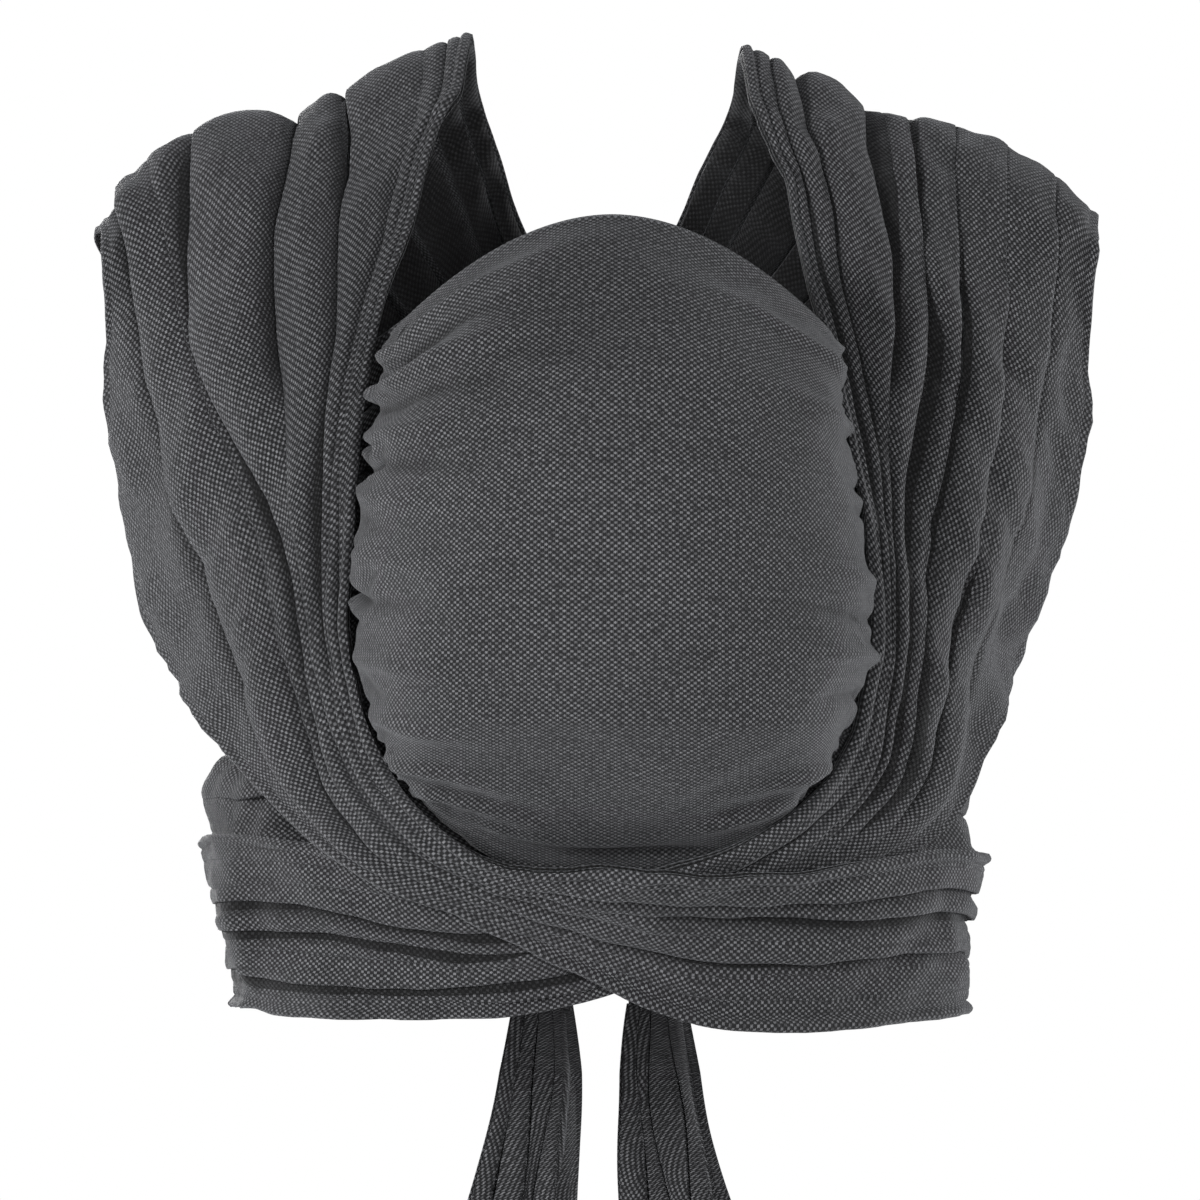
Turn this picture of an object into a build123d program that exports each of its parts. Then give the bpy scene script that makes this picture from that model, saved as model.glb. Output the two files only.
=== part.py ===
from build123d import *
import os
import math

# Baby wrap sling: one long woven cloth, tied as a front carry with two
# shoulder passes that cross below the pouch, go round the waist and are
# knotted at the back.  Millimetres, +Z up, the wearer faces -Y.
# Origin: on the axis of the wearer's torso at the waist.
# Sides are the wearer's: the right side is at -X, the left side at +X.

# ---------------------------------------------------------------- dimensions
CLOTH_WIDTH = 650.0        # flat width of the cloth, gathered in each pass
CLOTH_LENGTH = 4600.0      # flat length of the cloth
PASS_T = 5.0               # thickness of a gathered pass
PANEL_T = 4.0              # thickness of the front panel with its wrinkles
LAYER = 7.5                # step from one pass to the one that lies on it
SPAN_GAP = 0.6             # gap between two spans of one pass
TAIL_LENGTH = 300.0        # hanging length of each tail below the knot
TAIL_T = 16.0              # depth of a tail's bundle of folds
KNOT_Y = 98.0              # inner face of the knot behind the torso axis
POUCH_SIDE_Y = -138.0      # where the pouch is widest
POUCH_DEPTH = 108.0        # how far it stands out from there

# half-width of the carrier at each height, right side (-X) and left side (+X)
HALF_R = [(-45, 146), (-30, 158), (-12, 166), (0, 174), (28, 175), (50, 171), (64, 172), (92, 170),
          (107, 171), (129, 181), (160, 194), (203, 202), (226, 207), (262, 210), (310, 214), (345, 214)]
HALF_L = [(-45, 146), (-30, 156), (-12, 158), (0, 163), (28, 166), (50, 163), (64, 166), (88, 162),
          (115, 169), (141, 181), (159, 190), (195, 199), (217, 202), (241, 208), (275, 212), (310, 213), (345, 213)]
FRONT = [(-45, 128), (0, 134), (50, 142), (100, 146), (150, 146), (200, 138), (250, 120), (300, 96), (345, 80)]
BACK = [(-45, 100), (0, 98), (50, 100), (100, 108), (150, 117), (200, 121), (250, 114), (300, 92), (345, 78)]
# ridge of the shoulders: height above the waist at each distance from the axis
RIDGE = [(40, 396), (56, 388), (78, 378), (100, 366), (125, 357), (150, 350), (175, 342), (195, 331), (208, 318), (216, 304)]


def lin(table, t):
    if t <= table[0][0]:
        return table[0][1]
    for (a, p), (b, q) in zip(table, table[1:]):
        if t <= b:
            return p + (q - p) * (t - a) / (b - a)
    return table[-1][1]


def smooth(t):
    t = max(0.0, min(1.0, t))
    return t * t * (3 - 2 * t)


def half(x, z):
    return lin(HALF_R if x < 0 else HALF_L, z) + 1.5


def shoulder_fade(x, z):
    """1 low on the torso, 0 on the ridge of the shoulder."""
    top = lin(RIDGE, abs(x)) + 0.5
    low = 215.0
    t = max(0.0, min(1.0, (z - low) / (top - low)))
    return (1 - t ** 2.3) ** (1 / 2.3)


def depth(x, z, side):
    """Distance from the torso's mid plane to the form's front (-1) or back (+1)."""
    r = min(1.0, abs(x) / half(x, z))
    b = lin(FRONT if side < 0 else BACK, z)
    return b * (1 - r ** 2.3) ** (1 / 2.3) * shoulder_fade(x, z)


def on_form(x, z, side, off=0.0):
    """A point of the form, moved out by off from the torso's axis."""
    y = side * depth(x, z, side)
    if side < 0 and z < 110:   # the crossing bears under the pouch
        y -= 40.0 * math.exp(-(x / 105.0) ** 2) * math.exp(-((z - 42.0) / 34.0) ** 2)
    r = math.hypot(x, y) or 1.0
    up = 1 - shoulder_fade(x, z)
    return (x + off * x / r * (1 - 0.8 * up), y + off * y / r * (1 - 0.5 * up), z + off * up)


# ------------------------------------------------------------------- passes
# Each row is a station across a pass: its inner edge and its outer edge, each
# as (side, x, z, offset).  Side -1 is the front of the form, +1 the back.  At
# side 0 the station lies over the shoulder, as (0, x, y, offset).
# right pass: from the left underarm over the back to the right shoulder,
# down the front, over the left pass and round the left hip to the knot
RIGHT_BACK = [
    ((+1, 128, 158, -2.0), (+1, 130, 50, -2.0)),
    ((+1, 92, 190, 7.5), (+1, 88, 76, 5.0)),
    ((+1, 46, 224, 9.5), (+1, 30, 108, 8.0)),
    ((+1, 3, 260, 10.0), (+1, -38, 146, 10.0)),
    ((+1, -28, 300, 7.0), (+1, -98, 190, 6.0)),
    ((+1, -43, 340, 3.0), (+1, -156, 232, 1.0)),
]
RIGHT_CAP = [((0, -52, 45, 0.0), (0, -210, 44, 0.0)),
             ((0, -55, 0, 0.0), (0, -214, 0, 0.0)),
             ((0, -60, -42, 0.0), (0, -213, -40, 0.0))]
RIGHT_FRONT = [
    ((-1, -70, 346, 0.0), (-1, -208, 238, 0.0)),
    ((-1, -80, 310, 0.0), (-1, -203, 206, 0.0)),
    ((-1, -92, 272, 0.0), (-1, -198, 174, 0.0)),
    ((-1, -100, 230, 0.0), (-1, -189, 146, 0.0)),
    ((-1, -104, 180, 0.0), (-1, -176, 118, 0.0)),
    ((-1, -106, 130, 0.0), (-1, -162, 88, 0.0)),
]
RIGHT_CROSS = [
    ((-1, -95, 84, 0.0), (-1, -132, 54, 2.0)),
    ((-1, -68, 52, 7.0), (-1, -96, 30, 7.0)),
    ((-1, -36, 34, 10.0), (-1, -58, 13, 8.5)),
    ((-1, 4, 33, 10.0), (-1, -14, -9, 9.5)),
    ((-1, 48, 29, 10.0), (-1, 34, -31, 8.5)),
    ((-1, 84, 31, 9.0), (-1, 78, -36, 6.0)),
    ((-1, 112, 36, 8.5), (-1, 108, -35, 4.0)),
]
LEFT_HIP = [
    ((-1, 140, 40, 6.0), (-1, 138, -32, 2.0)),
    ((-1, 160, 38, 2.0), (-1, 154, -30, 0.0)),
    ((+1, 156, 36, 0.0), (+1, 150, -31, 0.0)),
    ((+1, 128, 34, 0.0), (+1, 124, -34, 0.0)),
]
LEFT_WAIST = [
    ((+1, 90, 28, 2.0), (+1, 88, -32, 2.0)),
    ((+1, 60, 20, 5.0), (+1, 60, -24, 5.0)),
    ((+1, 36, 16, 9.0), (+1, 36, -18, 9.0)),
]
# left pass: the mirror course, under the right pass at the front crossing
LEFT_BACK = [
    ((+1, -128, 158, -6.0), (+1, -130, 50, -4.0)),
    ((+1, -92, 190, -1.0), (+1, -88, 76, -1.0)),
    ((+1, -46, 224, -1.5), (+1, -30, 108, -1.5)),
    ((+1, -3, 260, -1.5), (+1, 38, 146, -1.5)),
    ((+1, 28, 300, -1.0), (+1, 98, 190, -1.0)),
    ((+1, 45, 336, 0.0), (+1, 156, 232, 0.0)),
]
LEFT_CAP = [((0, 56, 45, -3.0), (0, 209, 44, 0.0)),
            ((0, 60, 0, -4.0), (0, 213, 0, 0.0)),
            ((0, 66, -42, -4.0), (0, 212, -40, 0.0))]
LEFT_FRONT = [
    ((-1, 79, 330, 0.0), (-1, 206, 236, 0.0)),
    ((-1, 86, 292, 0.0), (-1, 200, 204, 0.0)),
    ((-1, 97, 250, 0.0), (-1, 195, 176, 0.0)),
    ((-1, 107, 205, 0.0), (-1, 185, 148, 0.0)),
    ((-1, 114, 160, 0.0), (-1, 172, 118, 0.0)),
    ((-1, 116, 122, 0.0), (-1, 162, 90, 2.5)),
]
LEFT_CROSS = [
    ((-1, 106, 84, 0.0), (-1, 147, 50, 1.5)),
    ((-1, 78, 54, 0.0), (-1, 104, 22, -5.0)),
    ((-1, 38, 34, -2.5), (-1, 60, -2, -4.0)),
    ((-1, -4, 26, -2.0), (-1, 8, -20, -2.5)),
    ((-1, -48, 28, -2.0), (-1, -40, -30, -2.0)),
    ((-1, -92, 34, -2.0), (-1, -88, -31, -1.5)),
    ((-1, -118, 42, 0.0), (-1, -116, -30, 0.0)),
]
RIGHT_HIP = [
    ((-1, -146, 46, 0.0), (-1, -142, -29, 0.0)),
    ((-1, -168, 46, 0.0), (-1, -154, -28, 0.0)),
    ((+1, -164, 42, 0.0), (+1, -152, -29, 0.0)),
    ((+1, -130, 36, 0.0), (+1, -126, -33, 0.0)),
]
RIGHT_WAIST = [
    ((+1, -90, 28, 2.0), (+1, -88, -32, 2.0)),
    ((+1, -60, 20, 5.0), (+1, -60, -24, 5.0)),
    ((+1, -36, 16, 9.0), (+1, -36, -18, 9.0)),
]
ACROSS = 7


def side_point(p, q, t):
    """The point at share t of the way across a station, on the form."""
    (side, xp, zp, op), (_, xq, zq, oq) = p, q
    x, z, o = xp + (xq - xp) * t, zp + (zq - zp) * t, op + (oq - op) * t
    if side == 0:
        return (x, z, lin(RIDGE, abs(x)) - 26.0 * (abs(z) / 45.0) ** 2.2 + o)
    return on_form(x, z, side, o)


def spline(rows, n):
    """n evenly spaced points of a Catmull-Rom curve through each column of rows."""
    out = []
    m = len(rows) - 1
    for i in range(n):
        s = m * i / (n - 1)
        k = min(int(s), m - 1)
        t = s - k
        line = []
        for j in range(len(rows[0])):
            b, c = rows[k][j], rows[k + 1][j]
            a = rows[k - 1][j] if k > 0 else tuple(2 * u - v for u, v in zip(b, c))
            d = rows[k + 2][j] if k < m - 1 else tuple(2 * v - u for u, v in zip(b, c))
            line.append(tuple(
                0.5 * (2 * b[e] + (c[e] - a[e]) * t + (2 * a[e] - 5 * b[e] + 4 * c[e] - d[e]) * t * t
                       + (3 * b[e] - a[e] - 3 * c[e] + d[e]) * t ** 3) for e in range(3)))
        out.append(line)
    return out


def station_rows(stations):
    return [[side_point(p, q, j / (ACROSS - 1)) for j in range(ACROSS)] for p, q in stations]


def trim(grid, gap):
    """Pulls the first and last rows in along the cloth by half the gap."""
    g = [list(r) for r in grid]
    for a, b in ((0, 1), (-1, -2)):
        g[a] = [tuple(Vector(p) + (Vector(q) - Vector(p)).normalized() * (gap / 2)) for p, q in zip(grid[a], grid[b])]
    return g


def inward(grid, t, inside):
    """The grid moved by t along its normal, towards the torso's side."""
    n, m = len(grid), len(grid[0])
    out = []
    for i in range(n):
        row = []
        for j in range(m):
            a = Vector(grid[min(i + 1, n - 1)][j]) - Vector(grid[max(i - 1, 0)][j])
            b = Vector(grid[i][min(j + 1, m - 1)]) - Vector(grid[i][max(j - 1, 0)])
            nn = a.cross(b).normalized()
            p = Vector(grid[i][j])
            if nn.dot(inside(p) - p) < 0:
                nn = nn * -1
            row.append(tuple(p + nn * (t(i) if callable(t) else t)))
        out.append(row)
    return out


def slab(outer, inner):
    """A closed solid between two grids of points, in flat facets."""
    n, m = len(outer), len(outer[0])
    tri = []

    def quad(a, b, c, d):
        tri.append((a, b, c))
        tri.append((a, c, d))

    for i in range(n - 1):
        for j in range(m - 1):
            quad(outer[i][j], outer[i + 1][j], outer[i + 1][j + 1], outer[i][j + 1])
            quad(inner[i][j], inner[i + 1][j], inner[i + 1][j + 1], inner[i][j + 1])
        for j in (0, m - 1):
            quad(outer[i][j], outer[i + 1][j], inner[i + 1][j], inner[i][j])
    for j in range(m - 1):
        for i in (0, n - 1):
            quad(outer[i][j], outer[i][j + 1], inner[i][j + 1], inner[i][j])
    faces = [Face(Wire.make_polygon([Vector(*p) for p in t], close=True)) for t in tri]
    solid = Solid(Shell(Face.sew_faces(faces)[0]))
    if solid.volume < 0:
        solid = Solid(Shell([-f for f in solid.faces()]))
    return solid


def axis_point(p):
    """The torso's axis beside a point, and the shoulder's core near the ridge."""
    up = smooth((p.Z - 230) / 90)
    return Vector(p.X * 0.75 * up, 0, p.Z - 60 * up)


def spans(parts, steps=2):
    """Splits one continuous pass into the grids of its spans: parts are lists of rows, each span running on to the next one's first row."""
    rows = [r for p in parts for r in p]
    fine = spline(rows, steps * (len(rows) - 1) + 1)
    thin = steps * len(parts[0])
    back = inward(fine, lambda i: PANEL_T if i < thin else PASS_T, axis_point)
    out, k = [], 0
    for i, p in enumerate(parts):
        last = k + len(p) - (1 if i == len(parts) - 1 else 0)
        cut = slice(steps * k, steps * last + 1)
        out.append((fine[cut], back[cut]))
        k += len(p)
    return out


def band(grids, gap=SPAN_GAP):
    return slab(trim(grids[0], gap), trim(grids[1], gap))


# -------------------------------------------------------------- front panel
POUCH_X = 5.0              # the pouch stands a little to the left
POUCH_ROWS = [             # share down the panel, height at the side, rise in the middle, half-width, depth share
    (0.00, 256, 52, 93, 0.34), (0.10, 244, 40, 97, 0.62), (0.22, 222, 24, 100, 0.86), (0.36, 190, 12, 104, 0.97),
    (0.50, 155, 5, 108, 1.0), (0.63, 122, 1, 108, 0.98), (0.75, 95, -1, 101, 0.86), (0.86, 75, -4, 91, 0.58),
    (0.93, 56, -6, 74, 0.27), (0.97, 44, -6, 61, 0.08), (1.00, 37, -4, 50, 0.0)]
WING_HALF = [(30, 158), (50, 158), (64, 159), (90, 154), (130, 151), (170, 150), (215, 152), (260, 160)]
WING_FRONT = [(30, 106), (50, 110), (100, 116), (150, 118), (200, 114), (230, 104), (260, 92)]
WING_BACK = [(30, 92), (50, 92), (100, 98), (150, 104), (200, 104), (260, 98)]


def pouch_point(v, phi):
    """v: share down the panel, phi: angle from the front, past 90 degrees the sheet turns back to the torso."""
    def col(c):
        return lin([(r[0], r[c]) for r in POUCH_ROWS], v)
    s, c = math.sin(math.radians(phi)), math.cos(math.radians(phi))
    w, rise, z0, share = col(3), col(2), col(1), col(4)
    front = POUCH_DEPTH * share
    x = POUCH_X + w * math.copysign(abs(s) ** 0.85, s)
    y = POUCH_SIDE_Y - front * abs(c) ** 0.9 if c > 0 else POUCH_SIDE_Y + 42 * abs(c)
    k = max(0.0, 1 - (abs(x - POUCH_X) / (w + 3)) ** 1.9)
    return (x, y, z0 + rise * k)


def pouch_grid(v0, v1, rows, phi0, phi1, cols):
    return [[pouch_point(v0 + (v1 - v0) * i / (rows - 1), phi0 + (phi1 - phi0) * j / (cols - 1))
             for j in range(cols)] for i in range(rows)]


def pouch_core(p):
    return Vector(POUCH_X, -120, min(max(p.Z, 90), 230))


def pouch(v0, v1, rows):
    outer = pouch_grid(v0, v1, rows, -128, 128, 21)
    outer = trim(outer, SPAN_GAP)
    return slab(outer, inward(outer, PANEL_T, pouch_core))


def seat():
    """The panel's lower edge, tucked up between the baby's seat and the wearer."""
    rows = []
    prof = [(-137, 25.5), (-132, 23), (-125, 23.5), (-118, 30), (-113, 48), (-111, 78), (-110, 108)]
    for y, z in prof:
        w = 30 + 20 * smooth((z - 48) / 60)
        rows.append([(POUCH_X + w * (j / 4 - 1), y + 4 * ((j / 4 - 1) ** 2), z + 2.5 * (j / 4 - 1) ** 2) for j in range(9)])
    g = spline(rows, 13)
    return slab(g, inward(g, PANEL_T, lambda p: Vector(POUCH_X, -150, 75)))


def wing_rows(sign):
    """The panel's wing from the pouch round the side under the arm."""
    rows = [[pouch_point(j / (ACROSS - 1), sign * 128) for j in range(ACROSS)]]
    low = 36 if sign > 0 else 41   # the lower edge lies inside the pass round the waist
    table = [  # side, x as a share of the half-width, top, bottom
        (-1, 0.76, 240, low + 2), (-1, 0.89, 226, low + 1), (-1, 0.97, 212, low),
        (0, 1.0, 198, low), (+1, 0.97, 184, low + 2)]
    for side, share, zt, zb in table:
        row = []
        for j in range(ACROSS):
            z = zt + (zb - zt) * j / (ACROSS - 1)
            a = lin(WING_HALF, z) + (9 * smooth((84 - z) / 20) * (1 - 0.5 * smooth((52 - z) / 10)) if sign < 0 else -2)
            b = lin(WING_FRONT if side < 0 else WING_BACK, z)
            row.append((sign * a * share, side * b * (1 - share ** 2.3) ** (1 / 2.3), z))
        rows.append(row)
    return rows


right_course = spans([wing_rows(+1), station_rows(RIGHT_BACK), station_rows(RIGHT_CAP), station_rows(RIGHT_FRONT),
                      station_rows(RIGHT_CROSS), station_rows(LEFT_HIP), station_rows(LEFT_WAIST)])
left_course = spans([wing_rows(-1), station_rows(LEFT_BACK), station_rows(LEFT_CAP), station_rows(LEFT_FRONT),
                     station_rows(LEFT_CROSS), station_rows(RIGHT_HIP), station_rows(RIGHT_WAIST)])


# ------------------------------------------------------------ knot and tails
def rounded(x, y, z, at, r):
    b = Box(x, y, z)
    return Pos(*at) * fillet(b.edges(), r)


def knot_half(sign):
    """One half-knot: a thick rounded turn of gathered cloth; the second lies on the first."""
    if sign < 0:
        return rounded(68, 22, 46, (0, KNOT_Y + 11.5, 0), 10)
    return rounded(76, 24, 52, (0, KNOT_Y + 22.5 + 0.5 + 12, -1), 11)


def tail(sign):
    """A hanging tail: a bundle of folds that widens and thins towards its end."""
    x0, y0 = sign * 25, KNOT_Y + 24
    sections = [(-32.0, 28, 10), (-60.0, 36, 17), (-110.0, 46, 17), (-170.0, 60, 15), (-240.0, 76, 13), (-32.0 - TAIL_LENGTH, 88, 12)]
    rows_f, rows_b = [], []
    for z, w, d in sections:
        xc = x0 + sign * 22 * smooth((-30 - z) / 200)
        rows_f.append([(xc + w / 2 * (j / 3 - 1), y0 + d / 2 - 3.0 * (j / 3 - 1) ** 2, z) for j in range(7)])
        rows_b.append([(xc + w / 2 * (j / 3 - 1), y0 - d / 2 + 3.0 * (j / 3 - 1) ** 2, z) for j in range(7)])
    return slab(spline(rows_f, 16), spline(rows_b, 16))


names = ["wing", "back", "shoulder", "front", "crossing", "hip", "waist_back"]
nodes = {
    "pouch_upper": lambda: pouch(0.0, 0.42, 9),
    "pouch_lower": lambda: pouch(0.42, 1.0, 11),
    "pouch_seat_tuck": seat,
    "knot_first_half": lambda: knot_half(-1),
    "knot_second_half": lambda: knot_half(+1),
    "tail_right": lambda: tail(-1),
    "tail_left": lambda: tail(+1),
}
for side, course in (("right", right_course), ("left", left_course)):
    for label, grids in zip(names, course):
        gap = 4.0 if label == "wing" else SPAN_GAP
        nodes[f"{side}_pass_{label}"] = lambda g=grids, c=gap: band(g, c)

os.makedirs("parts", exist_ok=True)
for name, make in nodes.items():
    shape = make()
    print(name, round(shape.volume / 1000, 2), "cm3", [round(v) for v in shape.bounding_box().min], [round(v) for v in shape.bounding_box().max])
    export_step(shape, f"parts/{name}.step")
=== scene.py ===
import bpy
import math
import numpy as np
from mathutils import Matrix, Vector


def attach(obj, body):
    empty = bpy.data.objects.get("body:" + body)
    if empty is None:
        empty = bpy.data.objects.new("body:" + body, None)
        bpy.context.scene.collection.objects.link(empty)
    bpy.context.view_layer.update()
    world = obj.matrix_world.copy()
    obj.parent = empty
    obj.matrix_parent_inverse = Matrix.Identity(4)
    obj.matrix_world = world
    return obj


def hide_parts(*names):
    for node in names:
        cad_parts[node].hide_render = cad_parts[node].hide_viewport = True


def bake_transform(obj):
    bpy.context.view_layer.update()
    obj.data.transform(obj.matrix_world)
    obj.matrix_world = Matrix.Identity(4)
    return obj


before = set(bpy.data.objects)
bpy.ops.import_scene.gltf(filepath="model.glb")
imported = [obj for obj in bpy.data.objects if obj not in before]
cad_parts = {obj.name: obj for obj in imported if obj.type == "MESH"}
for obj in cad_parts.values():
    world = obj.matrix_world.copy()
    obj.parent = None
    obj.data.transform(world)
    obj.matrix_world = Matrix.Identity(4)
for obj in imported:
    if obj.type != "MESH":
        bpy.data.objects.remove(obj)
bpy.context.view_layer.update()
MM = 0.001

# ------------------------------------------------------------------ the form
# the same torso form as the CAD, in millimetres
KNOT_Y = 98.0
POUCH_SIDE_Y = -138.0
POUCH_DEPTH = 108.0
HALF_R = [(-45, 146), (-30, 158), (-12, 166), (0, 174), (28, 175), (50, 171), (64, 172), (92, 170),
          (107, 171), (129, 181), (160, 194), (203, 202), (226, 207), (262, 210), (310, 214), (345, 214)]
HALF_L = [(-45, 146), (-30, 156), (-12, 158), (0, 163), (28, 166), (50, 163), (64, 166), (88, 162),
          (115, 169), (141, 181), (159, 190), (195, 199), (217, 202), (241, 208), (275, 212), (310, 213), (345, 213)]
FRONT = [(-45, 128), (0, 134), (50, 142), (100, 146), (150, 146), (200, 138), (250, 120), (300, 96), (345, 80)]
BACK = [(-45, 100), (0, 98), (50, 100), (100, 108), (150, 117), (200, 121), (250, 114), (300, 92), (345, 78)]
RIDGE = [(40, 396), (56, 388), (78, 378), (100, 366), (125, 357), (150, 350), (175, 342), (195, 331), (208, 318), (216, 304)]
POUCH_X = 5.0
POUCH_ROWS = [
    (0.00, 256, 52, 93, 0.34), (0.10, 244, 40, 97, 0.62), (0.22, 222, 24, 100, 0.86), (0.36, 190, 12, 104, 0.97),
    (0.50, 155, 5, 108, 1.0), (0.63, 122, 1, 108, 0.98), (0.75, 95, -1, 101, 0.86), (0.86, 75, -4, 91, 0.58),
    (0.93, 56, -6, 74, 0.27), (0.97, 44, -6, 61, 0.08), (1.00, 37, -4, 50, 0.0)]
WING_HALF = [(30, 158), (50, 158), (64, 159), (90, 154), (130, 151), (170, 150), (215, 152), (260, 160)]
WING_FRONT = [(30, 106), (50, 110), (100, 116), (150, 118), (200, 114), (230, 104), (260, 92)]
WING_BACK = [(30, 92), (50, 92), (100, 98), (150, 104), (200, 104), (260, 98)]


def lin(table, t):
    return float(np.interp(t, [a for a, _ in table], [b for _, b in table]))


def smooth(t):
    t = np.clip(t, 0.0, 1.0)
    return t * t * (3 - 2 * t)


def half(x, z):
    return lin(HALF_R if x < 0 else HALF_L, z) + 1.5


def shoulder_fade(x, z):
    top = lin(RIDGE, abs(x)) + 0.5
    t = max(0.0, min(1.0, (z - 215.0) / (top - 215.0)))
    return (1 - t ** 2.3) ** (1 / 2.3)


def depth(x, z, side):
    r = min(1.0, abs(x) / half(x, z))
    b = lin(FRONT if side < 0 else BACK, z)
    return b * (1 - r ** 2.3) ** (1 / 2.3) * shoulder_fade(x, z)


def on_form(x, z, side, off=0.0):
    y = side * depth(x, z, side)
    if side < 0 and z < 110:
        y -= 40.0 * math.exp(-(x / 105.0) ** 2) * math.exp(-((z - 42.0) / 34.0) ** 2)
    r = math.hypot(x, y) or 1.0
    up = 1 - shoulder_fade(x, z)
    return (x + off * x / r * (1 - 0.8 * up), y + off * y / r * (1 - 0.5 * up), z + off * up)


def side_point(p, q, t):
    (side, xp, zp, op), (_, xq, zq, oq) = p, q
    x, z, o = xp + (xq - xp) * t, zp + (zq - zp) * t, op + (oq - op) * t
    if side == 0:
        return (x, z, lin(RIDGE, abs(x)) - 26.0 * (abs(z) / 45.0) ** 2.2 + o)
    return on_form(x, z, side, o)


# Stations of the two passes: inner edge, outer edge, and the shares across at
# which the fold lines lie.
EVEN = [0, .125, .25, .375, .5, .625, .75, .875, 1]
RIGHT = [
    # back
    ((+1, 128, 158, -2.0), (+1, 130, 50, -2.0), [0, .1, .22, .36, .5, .64, .76, .88, 1]),
    ((+1, 92, 190, 7.5), (+1, 88, 76, 5.0), [0, .1, .2, .34, .5, .62, .74, .88, 1]),
    ((+1, 46, 224, 9.5), (+1, 30, 108, 8.0), [0, .12, .24, .36, .48, .6, .76, .88, 1]),
    ((+1, 3, 260, 10.0), (+1, -38, 146, 10.0), [0, .1, .24, .34, .48, .63, .74, .86, 1]),
    ((+1, -28, 300, 7.0), (+1, -98, 190, 6.0), [0, .08, .18, .32, .47, .66, .78, .9, 1]),
    ((+1, -43, 340, 3.0), (+1, -156, 232, 1.0), [0, .06, .15, .31, .46, .69, .82, .91, 1]),
    # shoulder
    ((0, -52, 45, 0.0), (0, -210, 44, 0.0), [0, .05, .13, .31, .45, .71, .85, .93, 1]),
    ((0, -55, 0, 0.0), (0, -214, 0, 0.0), [0, .05, .12, .315, .45, .72, .86, .93, 1]),
    ((0, -60, -42, 0.0), (0, -213, -40, 0.0), [0, .05, .11, .29, .46, .72, .84, .92, 1]),
    # front
    ((-1, -70, 346, 0.0), (-1, -208, 238, 0.0), [0, .05, .10, .265, .483, .725, .79, .89, 1]),
    ((-1, -80, 310, 0.0), (-1, -203, 206, 0.0), [0, .05, .10, .22, .46, .67, .73, .86, 1]),
    ((-1, -92, 272, 0.0), (-1, -198, 174, 0.0), [0, .05, .10, .16, .39, .575, .64, .82, 1]),
    ((-1, -100, 230, 0.0), (-1, -189, 146, 0.0), [0, .05, .10, .155, .33, .47, .56, .79, 1]),
    ((-1, -104, 180, 0.0), (-1, -176, 118, 0.0), [0, .06, .12, .18, .28, .37, .47, .77, 1]),
    ((-1, -106, 130, 0.0), (-1, -162, 88, 0.0), [0, .06, .12, .18, .25, .33, .45, .72, 1]),
    # crossing
    ((-1, -95, 84, 0.0), (-1, -132, 54, 2.0), [0, .07, .14, .21, .29, .40, .54, .76, 1]),
    ((-1, -68, 52, 7.0), (-1, -96, 30, 7.0), [0, .08, .17, .26, .37, .49, .63, .81, 1]),
    ((-1, -36, 34, 10.0), (-1, -58, 13, 8.5), [0, .1, .2, .31, .43, .56, .69, .84, 1]),
    ((-1, 4, 33, 10.0), (-1, -14, -9, 9.5), [0, .12, .22, .33, .46, .62, .72, .82, 1]),
    ((-1, 48, 29, 10.0), (-1, 34, -31, 8.5), [0, .10, .19, .28, .42, .56, .66, .82, 1]),
    ((-1, 84, 31, 9.0), (-1, 78, -36, 6.0), [0, .08, .17, .28, .42, .55, .64, .80, 1]),
    ((-1, 112, 36, 8.5), (-1, 108, -35, 4.0), [0, .08, .18, .32, .44, .54, .66, .82, 1]),
    # left hip
    ((-1, 140, 40, 6.0), (-1, 138, -32, 2.0), [0, .09, .20, .35, .47, .57, .68, .83, 1]),
    ((-1, 160, 38, 2.0), (-1, 154, -30, 0.0), [0, .10, .22, .36, .49, .60, .71, .85, 1]),
    ((+1, 156, 36, 0.0), (+1, 150, -31, 0.0), EVEN),
    ((+1, 128, 34, 0.0), (+1, 124, -34, 0.0), EVEN),
    # waist at the back
    ((+1, 90, 28, 2.0), (+1, 88, -32, 2.0), [0, .1, .24, .37, .52, .62, .75, .9, 1]),
    ((+1, 60, 20, 5.0), (+1, 60, -24, 5.0), [0, .12, .26, .4, .52, .64, .77, .88, 1]),
    ((+1, 36, 16, 9.0), (+1, 36, -18, 9.0), EVEN),
    ((+1, 20, 13, 14.0), (+1, 20, -15, 14.0), EVEN),
]
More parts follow.
